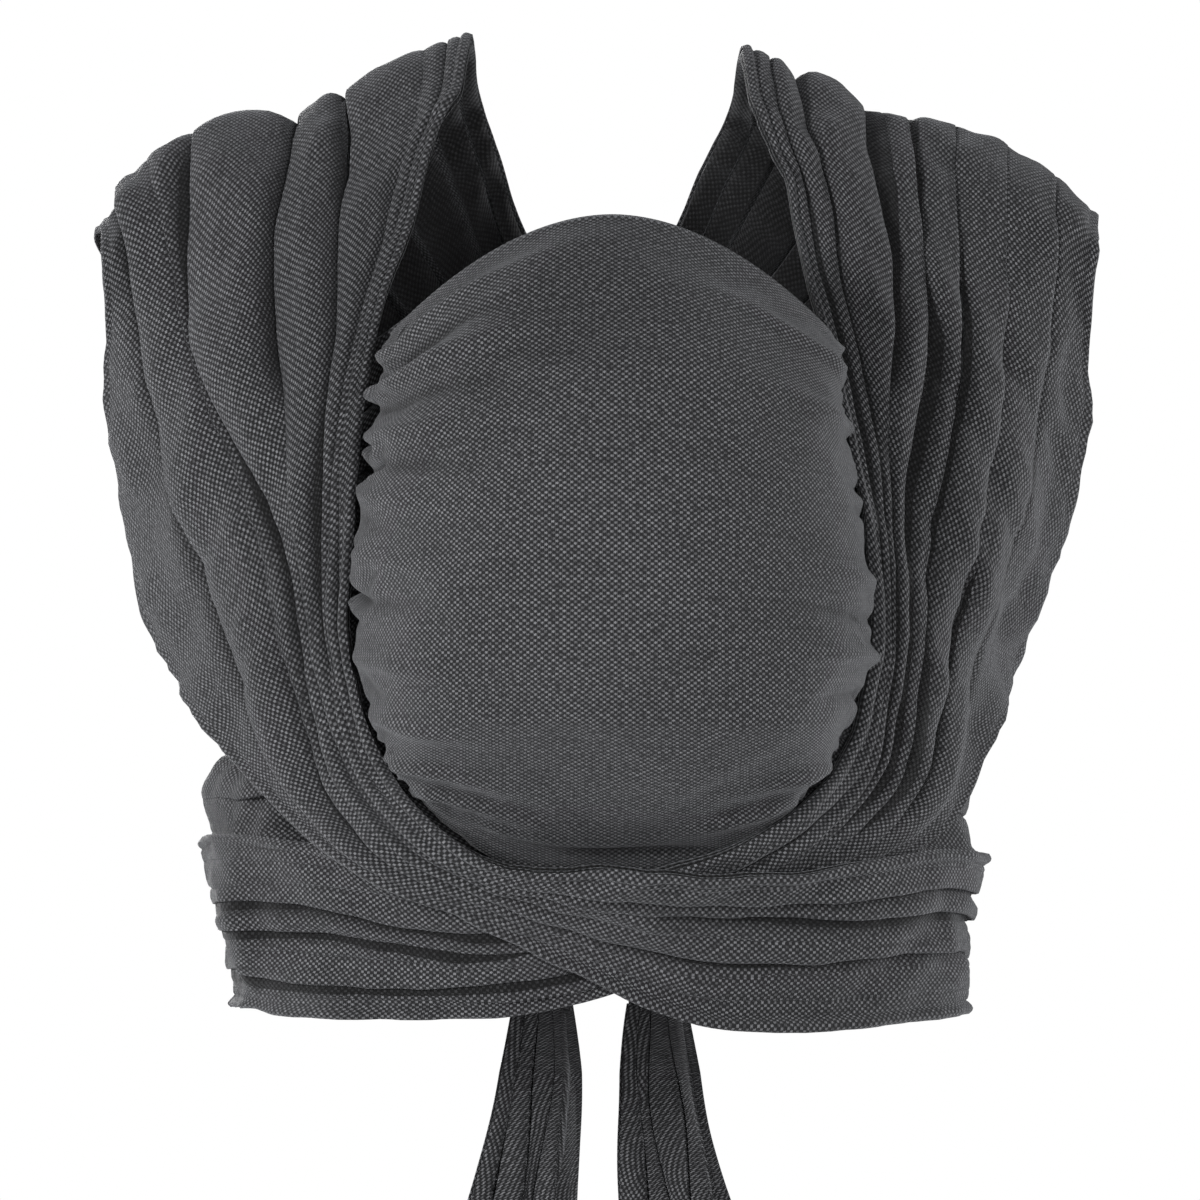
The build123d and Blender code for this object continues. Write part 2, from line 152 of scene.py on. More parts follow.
LEFT = [
    ((+1, -128, 158, -6.0), (+1, -130, 50, -4.0), [0, .12, .22, .36, .52, .64, .78, .88, 1]),
    ((+1, -92, 190, -1.0), (+1, -88, 76, -1.0), [0, .1, .24, .36, .5, .6, .74, .88, 1]),
    ((+1, -46, 224, -1.5), (+1, -30, 108, -1.5), EVEN),
    ((+1, -3, 260, -1.5), (+1, 38, 146, -1.5), EVEN),
    ((+1, 28, 300, -1.0), (+1, 98, 190, -1.0), [0, .1, .2, .34, .46, .62, .74, .88, 1]),
    ((+1, 45, 336, 0.0), (+1, 156, 232, 0.0), [0, .08, .17, .33, .46, .6, .74, .88, 1]),
    ((0, 56, 45, -3.0), (0, 209, 44, 0.0), [0, .07, .15, .32, .45, .6, .74, .88, 1]),
    ((0, 60, 0, -4.0), (0, 213, 0, 0.0), [0, .06, .14, .32, .45, .6, .75, .88, 1]),
    ((0, 66, -42, -4.0), (0, 212, -40, 0.0), [0, .06, .14, .32, .45, .59, .74, .88, 1]),
    ((-1, 79, 330, 0.0), (-1, 206, 236, 0.0), [0, .06, .14, .32, .45, .58, .74, .88, 1]),
    ((-1, 86, 292, 0.0), (-1, 200, 204, 0.0), [0, .06, .13, .31, .455, .58, .74, .88, 1]),
    ((-1, 97, 250, 0.0), (-1, 195, 176, 0.0), [0, .07, .14, .24, .37, .50, .70, .86, 1]),
    ((-1, 107, 205, 0.0), (-1, 185, 148, 0.0), [0, .07, .14, .21, .28, .42, .66, .84, 1]),
    ((-1, 114, 160, 0.0), (-1, 172, 118, 0.0), [0, .06, .12, .18, .25, .38, .62, .82, 1]),
    ((-1, 116, 122, 0.0), (-1, 162, 90, 2.5), [0, .06, .12, .18, .24, .35, .60, .80, 1]),
    ((-1, 106, 84, 0.0), (-1, 147, 50, 1.5), [0, .08, .16, .24, .32, .44, .62, .82, 1]),
    ((-1, 78, 54, 0.0), (-1, 104, 22, -5.0), [0, .1, .22, .34, .46, .58, .72, .86, 1]),
    ((-1, 38, 34, -2.5), (-1, 60, -2, -4.0), EVEN),
    ((-1, -4, 26, -2.0), (-1, 8, -20, -2.5), EVEN),
    ((-1, -48, 28, -2.0), (-1, -40, -30, -2.0), [0, .1, .22, .36, .50, .62, .74, .86, 1]),
    ((-1, -92, 34, -2.0), (-1, -88, -31, -1.5), [0, .08, .20, .34, .48, .62, .76, .88, 1]),
    ((-1, -118, 42, 0.0), (-1, -116, -30, 0.0), [0, .11, .23, .34, .50, .66, .78, .89, 1]),
    ((-1, -146, 46, 0.0), (-1, -142, -29, 0.0), [0, .13, .27, .36, .51, .65, .78, .90, 1]),
    ((-1, -168, 46, 0.0), (-1, -154, -28, 0.0), [0, .14, .30, .38, .52, .65, .78, .90, 1]),
    ((+1, -164, 42, 0.0), (+1, -152, -29, 0.0), EVEN),
    ((+1, -130, 36, 0.0), (+1, -126, -33, 0.0), EVEN),
    ((+1, -90, 28, 2.0), (+1, -88, -32, 2.0), EVEN),
    ((+1, -60, 20, 5.0), (+1, -60, -24, 5.0), EVEN),
    ((+1, -36, 16, 9.0), (+1, -36, -18, 9.0), EVEN),
    ((+1, -20, 13, 14.0), (+1, -20, -15, 14.0), EVEN),
]


def pouch_point(v, phi):
    col = [np.interp(v, [r[0] for r in POUCH_ROWS], [r[c] for r in POUCH_ROWS]) for c in range(5)]
    s, c = math.sin(math.radians(phi)), math.cos(math.radians(phi))
    w, rise, z0, share = col[3], col[2], col[1], col[4]
    x = POUCH_X + w * math.copysign(abs(s) ** 0.85, s)
    y = POUCH_SIDE_Y - POUCH_DEPTH * share * abs(c) ** 0.9 if c > 0 else POUCH_SIDE_Y + 42 * abs(c)
    k = max(0.0, 1 - (abs(x - POUCH_X) / (w + 3)) ** 1.9)
    return (x, y, z0 + rise * k)


def wing_rows(sign):
    rows = [[pouch_point(t, sign * 128) for t in EVEN]]
    low = 36 if sign > 0 else 41
    for side, share, zt, zb in [(-1, 0.76, 240, low + 2), (-1, 0.89, 226, low + 1), (-1, 0.97, 212, low), (0, 1.0, 198, low), (+1, 0.97, 184, low + 2)]:
        row = []
        for t in EVEN:
            z = zt + (zb - zt) * t
            a = lin(WING_HALF, z) + (9 * float(smooth((84 - z) / 20)) * (1 - 0.5 * float(smooth((52 - z) / 10))) if sign < 0 else -2)
            b = lin(WING_FRONT if side < 0 else WING_BACK, z)
            row.append((sign * a * share, side * b * (1 - share ** 2.3) ** (1 / 2.3), z))
        rows.append(row)
    return rows


# ------------------------------------------------------------- mesh helpers
def catmull(rows, t):
    """Rows (n, ...) sampled at the fractional indices t by Catmull-Rom."""
    rows = np.asarray(rows, float)
    n = len(rows)
    k = np.clip(np.floor(t).astype(int), 0, n - 2)
    f = (t - k).reshape((-1,) + (1,) * (rows.ndim - 1))
    ext = np.concatenate([2 * rows[:1] - rows[1:2], rows, 2 * rows[-1:] - rows[-2:-1]])
    a, b, c, d = ext[k], ext[k + 1], ext[k + 2], ext[k + 3]
    return 0.5 * (2 * b + (c - a) * f + (2 * a - 5 * b + 4 * c - d) * f ** 2 + (3 * b - a - 3 * c + d) * f ** 3)


class Noise:
    """Smooth noise from a few sine waves; wavelengths in the units given."""
    def __init__(self, seed, lu, lv, n=22):
        r = np.random.RandomState(seed)
        self.ku = 2 * np.pi / (lu[0] + (lu[1] - lu[0]) * r.rand(n)) * np.where(r.rand(n) < .5, -1, 1)
        self.kv = 2 * np.pi / (lv[0] + (lv[1] - lv[0]) * r.rand(n))
        self.ph = r.rand(n) * 2 * np.pi
        self.a = 0.6 + 0.8 * r.rand(n)
        self.a /= np.sqrt((self.a ** 2).sum() / 2)

    def __call__(self, u, v):
        out = 0
        for ku, kv, ph, a in zip(self.ku, self.kv, self.ph, self.a):
            out = out + a * np.sin(ku * u + kv * v + ph)
        return out


def normals_of(p):
    du = np.gradient(p, axis=0)
    dv = np.gradient(p, axis=1)
    n = np.cross(du, dv)
    return n / np.maximum(np.linalg.norm(n, axis=2, keepdims=True), 1e-9)


def grid_object(name, p, uv=None, thick=0.8, material=None, offset=-1.0, wrap=False, crease=None):
    """A cloth object from a grid of points in millimetres, with a UV map in metres."""
    n, m = p.shape[:2]
    mesh = bpy.data.meshes.new(name)
    idx = np.arange(n * m).reshape(n, m)
    q = np.stack([idx[:-1, :-1], idx[1:, :-1], idx[1:, 1:], idx[:-1, 1:]], -1).reshape(-1, 4)
    if wrap:
        w = np.stack([idx[:-1, -1], idx[1:, -1], idx[1:, 0], idx[:-1, 0]], -1).reshape(-1, 4)
        q = np.concatenate([q, w])
    mesh.from_pydata((p.reshape(-1, 3) * MM).tolist(), [], q.tolist())
    mesh.update()
    if uv is not None:
        layer = mesh.uv_layers.new(name="Cloth")
        flat = uv.reshape(-1, 2)
        loops = np.empty(len(mesh.loops), np.int32)
        mesh.loops.foreach_get("vertex_index", loops)
        layer.data.foreach_set("uv", flat[loops].astype(np.float32).ravel())
    # the crease attribute holds painted shade: how far the base colour is darkened in the fold valleys
    painted_shade_attr = mesh.attributes.new("crease", "FLOAT", "POINT")
    painted_shade_attr.data.foreach_set("value", (np.zeros(n * m) if crease is None else np.clip(crease, 0, 1).reshape(-1)).astype(np.float32))
    mesh.polygons.foreach_set("use_smooth", [True] * len(mesh.polygons))
    ob = bpy.data.objects.new(name, mesh)
    bpy.context.scene.collection.objects.link(ob)
    if thick:
        mod = ob.modifiers.new("thick", "SOLIDIFY")
        mod.thickness = thick * MM
        mod.offset = offset
    if material:
        mesh.materials.append(material)
    return ob


# ---------------------------------------------------------------- materials
def cloth_material(name, dark, light, seed=0.0):
    """Charcoal bird's-eye weave: staggered light dots on a near-black ground, 3.05 by 2.45 mm."""
    mat = bpy.data.materials.new(name)
    mat.use_nodes = True
    nt = mat.node_tree
    N, L = nt.nodes, nt.links
    N.clear()
    out = N.new("ShaderNodeOutputMaterial")
    bsdf = N.new("ShaderNodeBsdfPrincipled")
    L.new(bsdf.outputs[0], out.inputs[0])
    bsdf.inputs["Roughness"].default_value = 0.92
    bsdf.inputs["Specular IOR Level"].default_value = 0.08
    bsdf.inputs["Sheen Weight"].default_value = 0.05
    bsdf.inputs["Sheen Roughness"].default_value = 0.45
    bsdf.inputs["Sheen Tint"].default_value = (0.75, 0.77, 0.82, 1)

    uv = N.new("ShaderNodeUVMap")
    uv.uv_map = "Cloth"
    sep = N.new("ShaderNodeSeparateXYZ")
    L.new(uv.outputs[0], sep.inputs[0])

    def math_node(op, a, b=None, c=None):
        m = N.new("ShaderNodeMath")
        m.operation = op
        for i, x in enumerate((a, b, c)):
            if x is None:
                continue
            if isinstance(x, (int, float)):
                m.inputs[i].default_value = x
            else:
                L.new(x, m.inputs[i])
        return m.outputs[0]

    # slight waviness of the threads
    wob = N.new("ShaderNodeTexNoise")
    wob.inputs["Scale"].default_value = 90.0
    wob.inputs["Detail"].default_value = 2.0
    L.new(uv.outputs[0], wob.inputs["Vector"])
    wv = math_node("MULTIPLY", math_node("SUBTRACT", wob.outputs["Fac"], 0.5), 0.0009)
    u = math_node("ADD", sep.outputs[0], wv)
    v = math_node("SUBTRACT", sep.outputs[1], wv)
    cu = math_node("COSINE", math_node("MULTIPLY", u, 2 * math.pi / 0.00305))
    cv = math_node("COSINE", math_node("MULTIPLY", v, 2 * math.pi / 0.00245))
    dots = math_node("MULTIPLY", cu, cv)
    # single threads across each dot
    th = math_node("MULTIPLY", math_node("COSINE", math_node("MULTIPLY", u, 2 * math.pi / 0.00076)), 0.22)
    soft = math_node("ADD", dots, th)
    fac = N.new("ShaderNodeMapRange")
    fac.interpolation_type = "SMOOTHSTEP"
    fac.inputs["From Min"].default_value = -0.15
    fac.inputs["From Max"].default_value = 0.75
    L.new(soft, fac.inputs["Value"])
    # yarn irregularity: light yarns vary from dot to dot, and the cloth is a little faded in places
    yarn = N.new("ShaderNodeTexNoise")
    yarn.inputs["Scale"].default_value = 420.0
    yarn.inputs["Detail"].default_value = 1.0
    L.new(uv.outputs[0], yarn.inputs["Vector"])
    geo = N.new("ShaderNodeTexCoord")
    big = N.new("ShaderNodeTexNoise")
    big.inputs["Scale"].default_value = 9.0
    big.inputs["Detail"].default_value = 4.0
    L.new(geo.outputs["Object"], big.inputs["Vector"])
    streak = N.new("ShaderNodeTexNoise")
    mp = N.new("ShaderNodeMapping")
    mp.inputs["Scale"].default_value = (18.0, 260.0, 1.0)
    L.new(uv.outputs[0], mp.inputs["Vector"])
    L.new(mp.outputs[0], streak.inputs["Vector"])
    streak.inputs["Scale"].default_value = 1.0
    yv = N.new("ShaderNodeMapRange")
    yv.inputs["From Min"].default_value = 0.3
    yv.inputs["From Max"].default_value = 0.7
    yv.inputs["To Min"].default_value = 0.25
    yv.inputs["To Max"].default_value = 1.25
    L.new(yarn.outputs["Fac"], yv.inputs["Value"])
    amount = math_node("MULTIPLY", fac.outputs[0], yv.outputs[0])
    mix = N.new("ShaderNodeMix")
    mix.data_type = "RGBA"
    L.new(amount, mix.inputs["Factor"])
    mix.inputs[6].default_value = (*dark, 1)
    mix.inputs[7].default_value = (*light, 1)
    tone = N.new("ShaderNodeMapRange")
    tone.inputs["From Min"].default_value = 0.3
    tone.inputs["From Max"].default_value = 0.7
    tone.inputs["To Min"].default_value = 0.80
    tone.inputs["To Max"].default_value = 1.16
    L.new(math_node("ADD", math_node("MULTIPLY", big.outputs["Fac"], 0.6), math_node("MULTIPLY", streak.outputs["Fac"], 0.4)), tone.inputs["Value"])
    # painted shade: the crease attribute darkens the base colour in the bottom of the folds and on the hidden layers,
    # where shade falls
    painted_shade_attr = N.new("ShaderNodeAttribute")
    painted_shade_attr.attribute_name = "crease"
    painted_shade_keep = math_node("SUBTRACT", 1.0, math_node("MULTIPLY", painted_shade_attr.outputs["Fac"], 0.85))
    hsv = N.new("ShaderNodeHueSaturation")
    L.new(mix.outputs[2], hsv.inputs["Color"])
    L.new(math_node("MULTIPLY", tone.outputs[0], painted_shade_keep), hsv.inputs["Value"])
    L.new(hsv.outputs[0], bsdf.inputs["Base Color"])
    bump = N.new("ShaderNodeBump")
    bump.inputs["Strength"].default_value = 0.4
    bump.inputs["Distance"].default_value = 0.0004
    L.new(math_node("ADD", soft, math_node("MULTIPLY", yarn.outputs["Fac"], 0.6)), bump.inputs["Height"])
    L.new(bump.outputs[0], bsdf.inputs["Normal"])
    return mat


CLOTH = cloth_material("charcoal_weave", (0.0030, 0.0030, 0.0033), (0.047, 0.0475, 0.050))

# ------------------------------------------------------------------ camera
cam_data = bpy.data.cameras.new("camera")
cam = bpy.data.objects.new("camera", cam_data)
bpy.context.scene.collection.objects.link(cam)
DIST = 8.0
cam.location = (0.0, -DIST, 0.1462)
cam.rotation_euler = (math.radians(90), 0, 0)
cam_data.sensor_width = 36.0
cam_data.lens = 36.0 * DIST / 0.516
cam_data.clip_end = 60
bpy.context.scene.camera = cam

# ------------------------------------------------------- the gathered passes
STRIPS = 8
SEAM = 1.05        # spacing of the hidden layers of cloth, mm


def course(name, sign, stations, seed, valleys, flats, over=0.85, hidden=4):
    """One pass of the wrap as a sheet with real overlapping pleats, from the pouch to the knot."""
    ctrl = [r for r in wing_rows(sign)]
    for p, q, shares in stations:
        ctrl.append([side_point(p, q, t) for t in shares])
    ctrl = np.array(ctrl)                         # (S, 9, 3)
    S = len(ctrl)
    mid = ctrl[:, 4]
    seg = np.linalg.norm(np.diff(mid, axis=0), axis=1)
    step = 4.5
    t = np.concatenate([np.linspace(i, i + 1, max(2, int(round(d / step))), endpoint=False) for i, d in enumerate(seg)] + [[S - 1.0]])
    fine = catmull(ctrl, t)                       # (R, 9, 3)
    R = len(fine)
    length = np.concatenate([[0], np.cumsum(np.linalg.norm(np.diff(fine[:, 4], axis=0), axis=1))])
    # fold lines wander a little along the cloth
    rng = np.random.RandomState(seed)
    nz = Noise(seed + 1, (60, 160), (2.0, 5.0))
    L2, K2 = np.meshgrid(length, np.arange(9), indexing="ij")
    width = np.linalg.norm(np.diff(fine, axis=1), axis=2)   # (R, 8)
    cols = np.transpose(fine, (1, 0, 2))          # (9, R, 3)

    def base(s):
        """Base surface at fractional fold-line positions s, for every row."""
        return np.transpose(catmull(cols, np.asarray(s, float)), (1, 0, 2))

    # profile: (strip position, height as a function)
    pos, kind, strip, frac = [], [], [], []
    nv = 11
    bul = 0.13 + 0.10 * rng.rand(STRIPS)
    for k in range(STRIPS):
        for i in range(nv + 1):
            a = i / nv
            if k == 0:
                a = a ** 1.4
            elif k == STRIPS - 1:
                a = 1 - (1 - a) ** 1.6
            pos.append(k + a); kind.append(0); strip.append(k); frac.append(a)
        if k == STRIPS - 1:
            break
        pos.append(k + 1.0); kind.append(1); strip.append(k); frac.append(1.0)
        for layer in range(1, hidden + 1):
            seq = (0.98, 0.55, 1 - over) if layer % 2 else (1 - over, 0.55, 0.98)
            for a in seq:
                pos.append(k + a); kind.append(1 + layer); strip.append(k); frac.append(a)
    pos, kind, strip, frac = map(np.array, (pos, kind, strip, frac))
    P = base(np.clip(pos, 0, STRIPS))             # (R, M, 3)
    even = np.linspace(0, STRIPS, 4 * STRIPS + 1)
    B = base(even)
    NB = normals_of(B)
    # smooth the normals so that pleats don't shear
    for _ in range(4):
        NB[1:-1] = (NB[:-2] + NB[1:-1] * 2 + NB[2:]) / 4
        NB[:, 1:-1] = (NB[:, :-2] + NB[:, 1:-1] * 2 + NB[:, 2:]) / 4
    NB /= np.linalg.norm(NB, axis=2, keepdims=True)
    # outward: away from the torso's axis
    core = np.array([0, 0, 0.0])
    ax = B.copy(); up = smooth((B[..., 2] - 230) / 90)
    ax[..., 0] *= 0.75 * up; ax[..., 1] = 0; ax[..., 2] -= 60 * up
    if (NB * (B - ax)).sum(-1).mean() < 0:
        NB = -NB
    Nn = np.empty_like(P)
    f = np.clip(pos, 0, STRIPS) * 4
    i0 = np.clip(np.floor(f).astype(int), 0, len(even) - 2)
    w = (f - i0)[None, :, None]
    Nn = NB[:, i0] * (1 - w) + NB[:, i0 + 1] * w
    Nn /= np.linalg.norm(Nn, axis=2, keepdims=True)
    # heights
    W = width[:, np.clip(strip, 0, STRIPS - 1)]   # (R, M)
    ridge = Noise(seed + 5, (150, 420), (1.2, 3.0))
    LL = length[:, None] * np.ones(len(pos))[None]
    SS = np.ones(R)[:, None] * strip[None]
    strength = np.clip(0.8 + 0.5 * ridge(LL, SS * 1.0), 0.05, 1.6)
    lip = np.clip(0.07 * W + 0.9, 1.0, 3.8) * strength
    crown = bul[strip][None] * W * np.clip(0.9 + 0.45 * ridge(LL * 0.8, SS * 1.7 + 9), 0.15, 1.8)
    crown = np.clip(crown, 0.4, 7.0)
    # a neighbour that fades takes the crease between them with it
    dip = np.clip(0.10 * W + 1.4, 1.6, 5.0) * np.clip(0.8 + 0.45 * ridge(LL, SS * 1.0 + 4.7), 0.1, 1.5)
    wide = np.clip(0.13 * W, 1.2, 3.2)
    T = t[:, None] * np.ones(len(pos))[None]
    for line, t0, t1, deep, wd in valleys:
        gate = smooth((T - t0) / 0.9) * smooth((t1 - T) / 0.9) * (strip[None] == line)
        dip = dip + gate * (deep - dip)
        wide = wide + gate * (np.minimum(1.25 * wd, 0.5 * W) - wide)
    # where two strips run together their fold line fades out
    for line, t0, t1 in flats:
        gate = smooth((T - t0) / 1.2) * smooth((t1 - T) / 1.2)
        dip = dip * (1 - 0.93 * gate * (strip[None] == line))
        lip = lip * (1 - 0.85 * gate * (strip[None] == line - 1))
        crown = crown * (1 - 0.5 * gate * ((strip[None] == line) | (strip[None] == line - 1)))
    # the outer strips lie flatter, so that the outline stays even
    calm = np.array([0.7, 1, 1, 1, 1, 1, 0.75, 0.5])[strip][None]
    crown = crown * calm
    fr = frac[None]
    top = crown * np.sin(np.pi * np.clip(fr, 0, 1)) ** 0.9 + lip * smooth((fr - 0.45) / 0.5)
    start = np.exp(-(fr * W / wide) ** 1.5) * np.where(strip[None] > 0, dip, 0.0)
    edge = np.where(strip[None] == 0, fr * W, np.where(strip[None] == STRIPS - 1, (1 - fr) * W, 99.0))
    hem = 1.5 * np.exp(-((edge - 2.2) / 1.7) ** 2) - 0.9 * np.exp(-((edge - 5.0) / 0.8) ** 2)
    h = np.where(kind[None] == 0, top - start + hem, 0.0)
    h = np.where(kind[None] == 1, lip - 0.5, h)
    h = np.where(kind[None] > 1, -SEAM * (kind[None] - 1) * 1.0 + 0.9 * np.where(fr > 0.9, lip - 1.2, 0) * np.where(kind[None] == 2, 0.5, 0.0), h)
    # the lip leans out over the next strip
    lean = np.where(kind[None] == 0, smooth((fr - 0.8) / 0.2) * lip * 0.9, np.where(kind[None] == 1, lip * 1.15, 0.0))
    nxt = base(np.clip(pos + 0.05, 0, STRIPS)) - P
    nxt /= np.maximum(np.linalg.norm(nxt, axis=2, keepdims=True), 1e-6)
    last = strip == STRIPS - 1
    lean = np.where(last[None], 0, lean)
    # long soft undulation and small drag wrinkles, the same for every layer
    across = np.cumsum(width, axis=1)
    across = np.concatenate([np.zeros((R, 1)), across], axis=1)
    vs = np.take_along_axis(across, np.clip(np.floor(pos).astype(int), 0, STRIPS)[None].repeat(R, 0), 1) + (pos - np.floor(pos))[None] * W
    n1 = Noise(seed + 11, (90, 260), (50, 130))(LL, vs)
    n2 = Noise(seed + 17, (24, 70), (16, 46))(LL, vs)
    n3 = Noise(seed + 23, (9, 26), (40, 120))(LL, vs)
    fade_end = smooth((length[-1] - LL) / 60) * smooth(LL / 40)
    h = h + (1.5 * n1 + 0.55 * n2 + 0.16 * n3) * fade_end
    p = P + Nn * h[..., None] + nxt * lean[..., None]
    # real cloth coordinates, in metres: true lengths within each strip
    along = np.concatenate([np.zeros((1, 9)), np.cumsum(np.linalg.norm(np.diff(fine, axis=0), axis=2), axis=0)])
    uvu = 0.5 * (along[:, strip] + along[:, strip + 1]) * MM
    seg_v = np.concatenate([np.zeros((R, 1)), np.cumsum(np.linalg.norm(np.diff(p, axis=1), axis=2), axis=1)], axis=1)
    mids = np.array([np.argmin(np.abs(pos - (k + 0.5)) + 9 * (kind != 0)) for k in range(STRIPS)])
    uvv = (seg_v - seg_v[:, mids[np.clip(strip, 0, STRIPS - 1)]] + strip[None] * 83.0) * MM
    # painted shade: the crease attribute darkens the fold valleys, the folded lips and the hidden layers beneath
    low = np.where(kind[None] == 0, np.clip((start - 0.35 * top) / 4.2, 0, 1), np.where(kind[None] == 1, 0.25, 1.0))
    ob = grid_object(name, p, np.stack([uvu, uvv], -1), thick=0.75, material=CLOTH, crease=low)
    d1 = np.linalg.norm(np.diff(p, axis=1), axis=2)
    dev = d1.sum(1)
    print(f"{name}: rows {R} cols {len(pos)} length {length[-1]:.0f} mm developed width mean {dev.mean():.0f} min {dev.min():.0f} max {dev.max():.0f}", flush=True)
    return ob, length[-1]


# fold, from station, to station, depth and width of the valley in mm
RIGHT_VALLEYS = [
    (1, 12.0, 21.0, 6.0, 2.6), (2, 16.0, 21.5, 5.5, 2.4), (3, 12.5, 20.5, 12.0, 6.5), (3, 20.0, 24.5, 6.0, 3.0),
    (4, 12.0, 17.3, 10.0, 5.5), (4, 18.5, 24.5, 5.5, 3.0), (5, 13.0, 21.5, 13.0, 7.0), (5, 22.0, 31.5, 8.0, 4.2),
    (6, 18.5, 24.0, 5.0, 3.0), (7, 12.5, 20.0, 9.0, 5.5), (2, 22.5, 31.5, 7.0, 3.6), (3, 24.0, 31.5, 8.0, 4.2)]
LEFT_VALLEYS = [
    (1, 11.5, 21.0, 7.0, 3.2), (2, 11.5, 20.5, 8.0, 3.6), (3, 12.0, 17.3, 12.0, 6.5), (4, 14.8, 21.8, 13.0, 7.0),
    (4, 11.5, 15.2, 6.0, 4.0), (5, 14.5, 21.8, 9.0, 5.5), (3, 17.0, 22.0, 6.5, 3.2), (6, 17.5, 21.5, 5.0, 4.0),
    (3, 24.0, 32.0, 10.0, 5.0), (4, 24.5, 32.0, 6.5, 4.0), (6, 23.5, 32.0, 8.0, 4.5)]
# fold, from station, to station
RIGHT_FLATS = [(6, 10.0, 19.5), (2, 11.0, 16.0), (1, 22.5, 33.0), (4, 24.0, 33.0), (6, 24.5, 33.0), (7, 24.5, 33.0),
               (2, 4.0, 10.0), (4, 3.0, 10.0), (6, 5.0, 10.5), (1, 1.0, 8.0)]
LEFT_FLATS = [(5, 9.0, 15.0), (6, 10.0, 19.0), (7, 10.0, 20.0), (1, 24.0, 33.0), (2, 23.5, 30.0), (5, 23.0, 33.0), (7, 25.0, 33.0),
              (2, 3.0, 9.0), (5, 4.0, 9.0), (7, 2.0, 8.5)]
right_pass, right_len = course("cloth_right_pass", +1, RIGHT, 7, RIGHT_VALLEYS, RIGHT_FLATS)
left_pass, left_len = course("cloth_left_pass", -1, LEFT, 31, LEFT_VALLEYS, LEFT_FLATS)
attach(right_pass, "root")
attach(left_pass, "root")
SPANS = ("wing", "back", "shoulder", "front", "crossing", "hip", "waist_back")
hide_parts(*[f"right_pass_{n}" for n in SPANS])
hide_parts(*[f"left_pass_{n}" for n in SPANS])


# ------------------------------------------------------------------ the pouch
RAIL_FOLD = 0.555   # share of the dome's height that the top rail is folded down inside


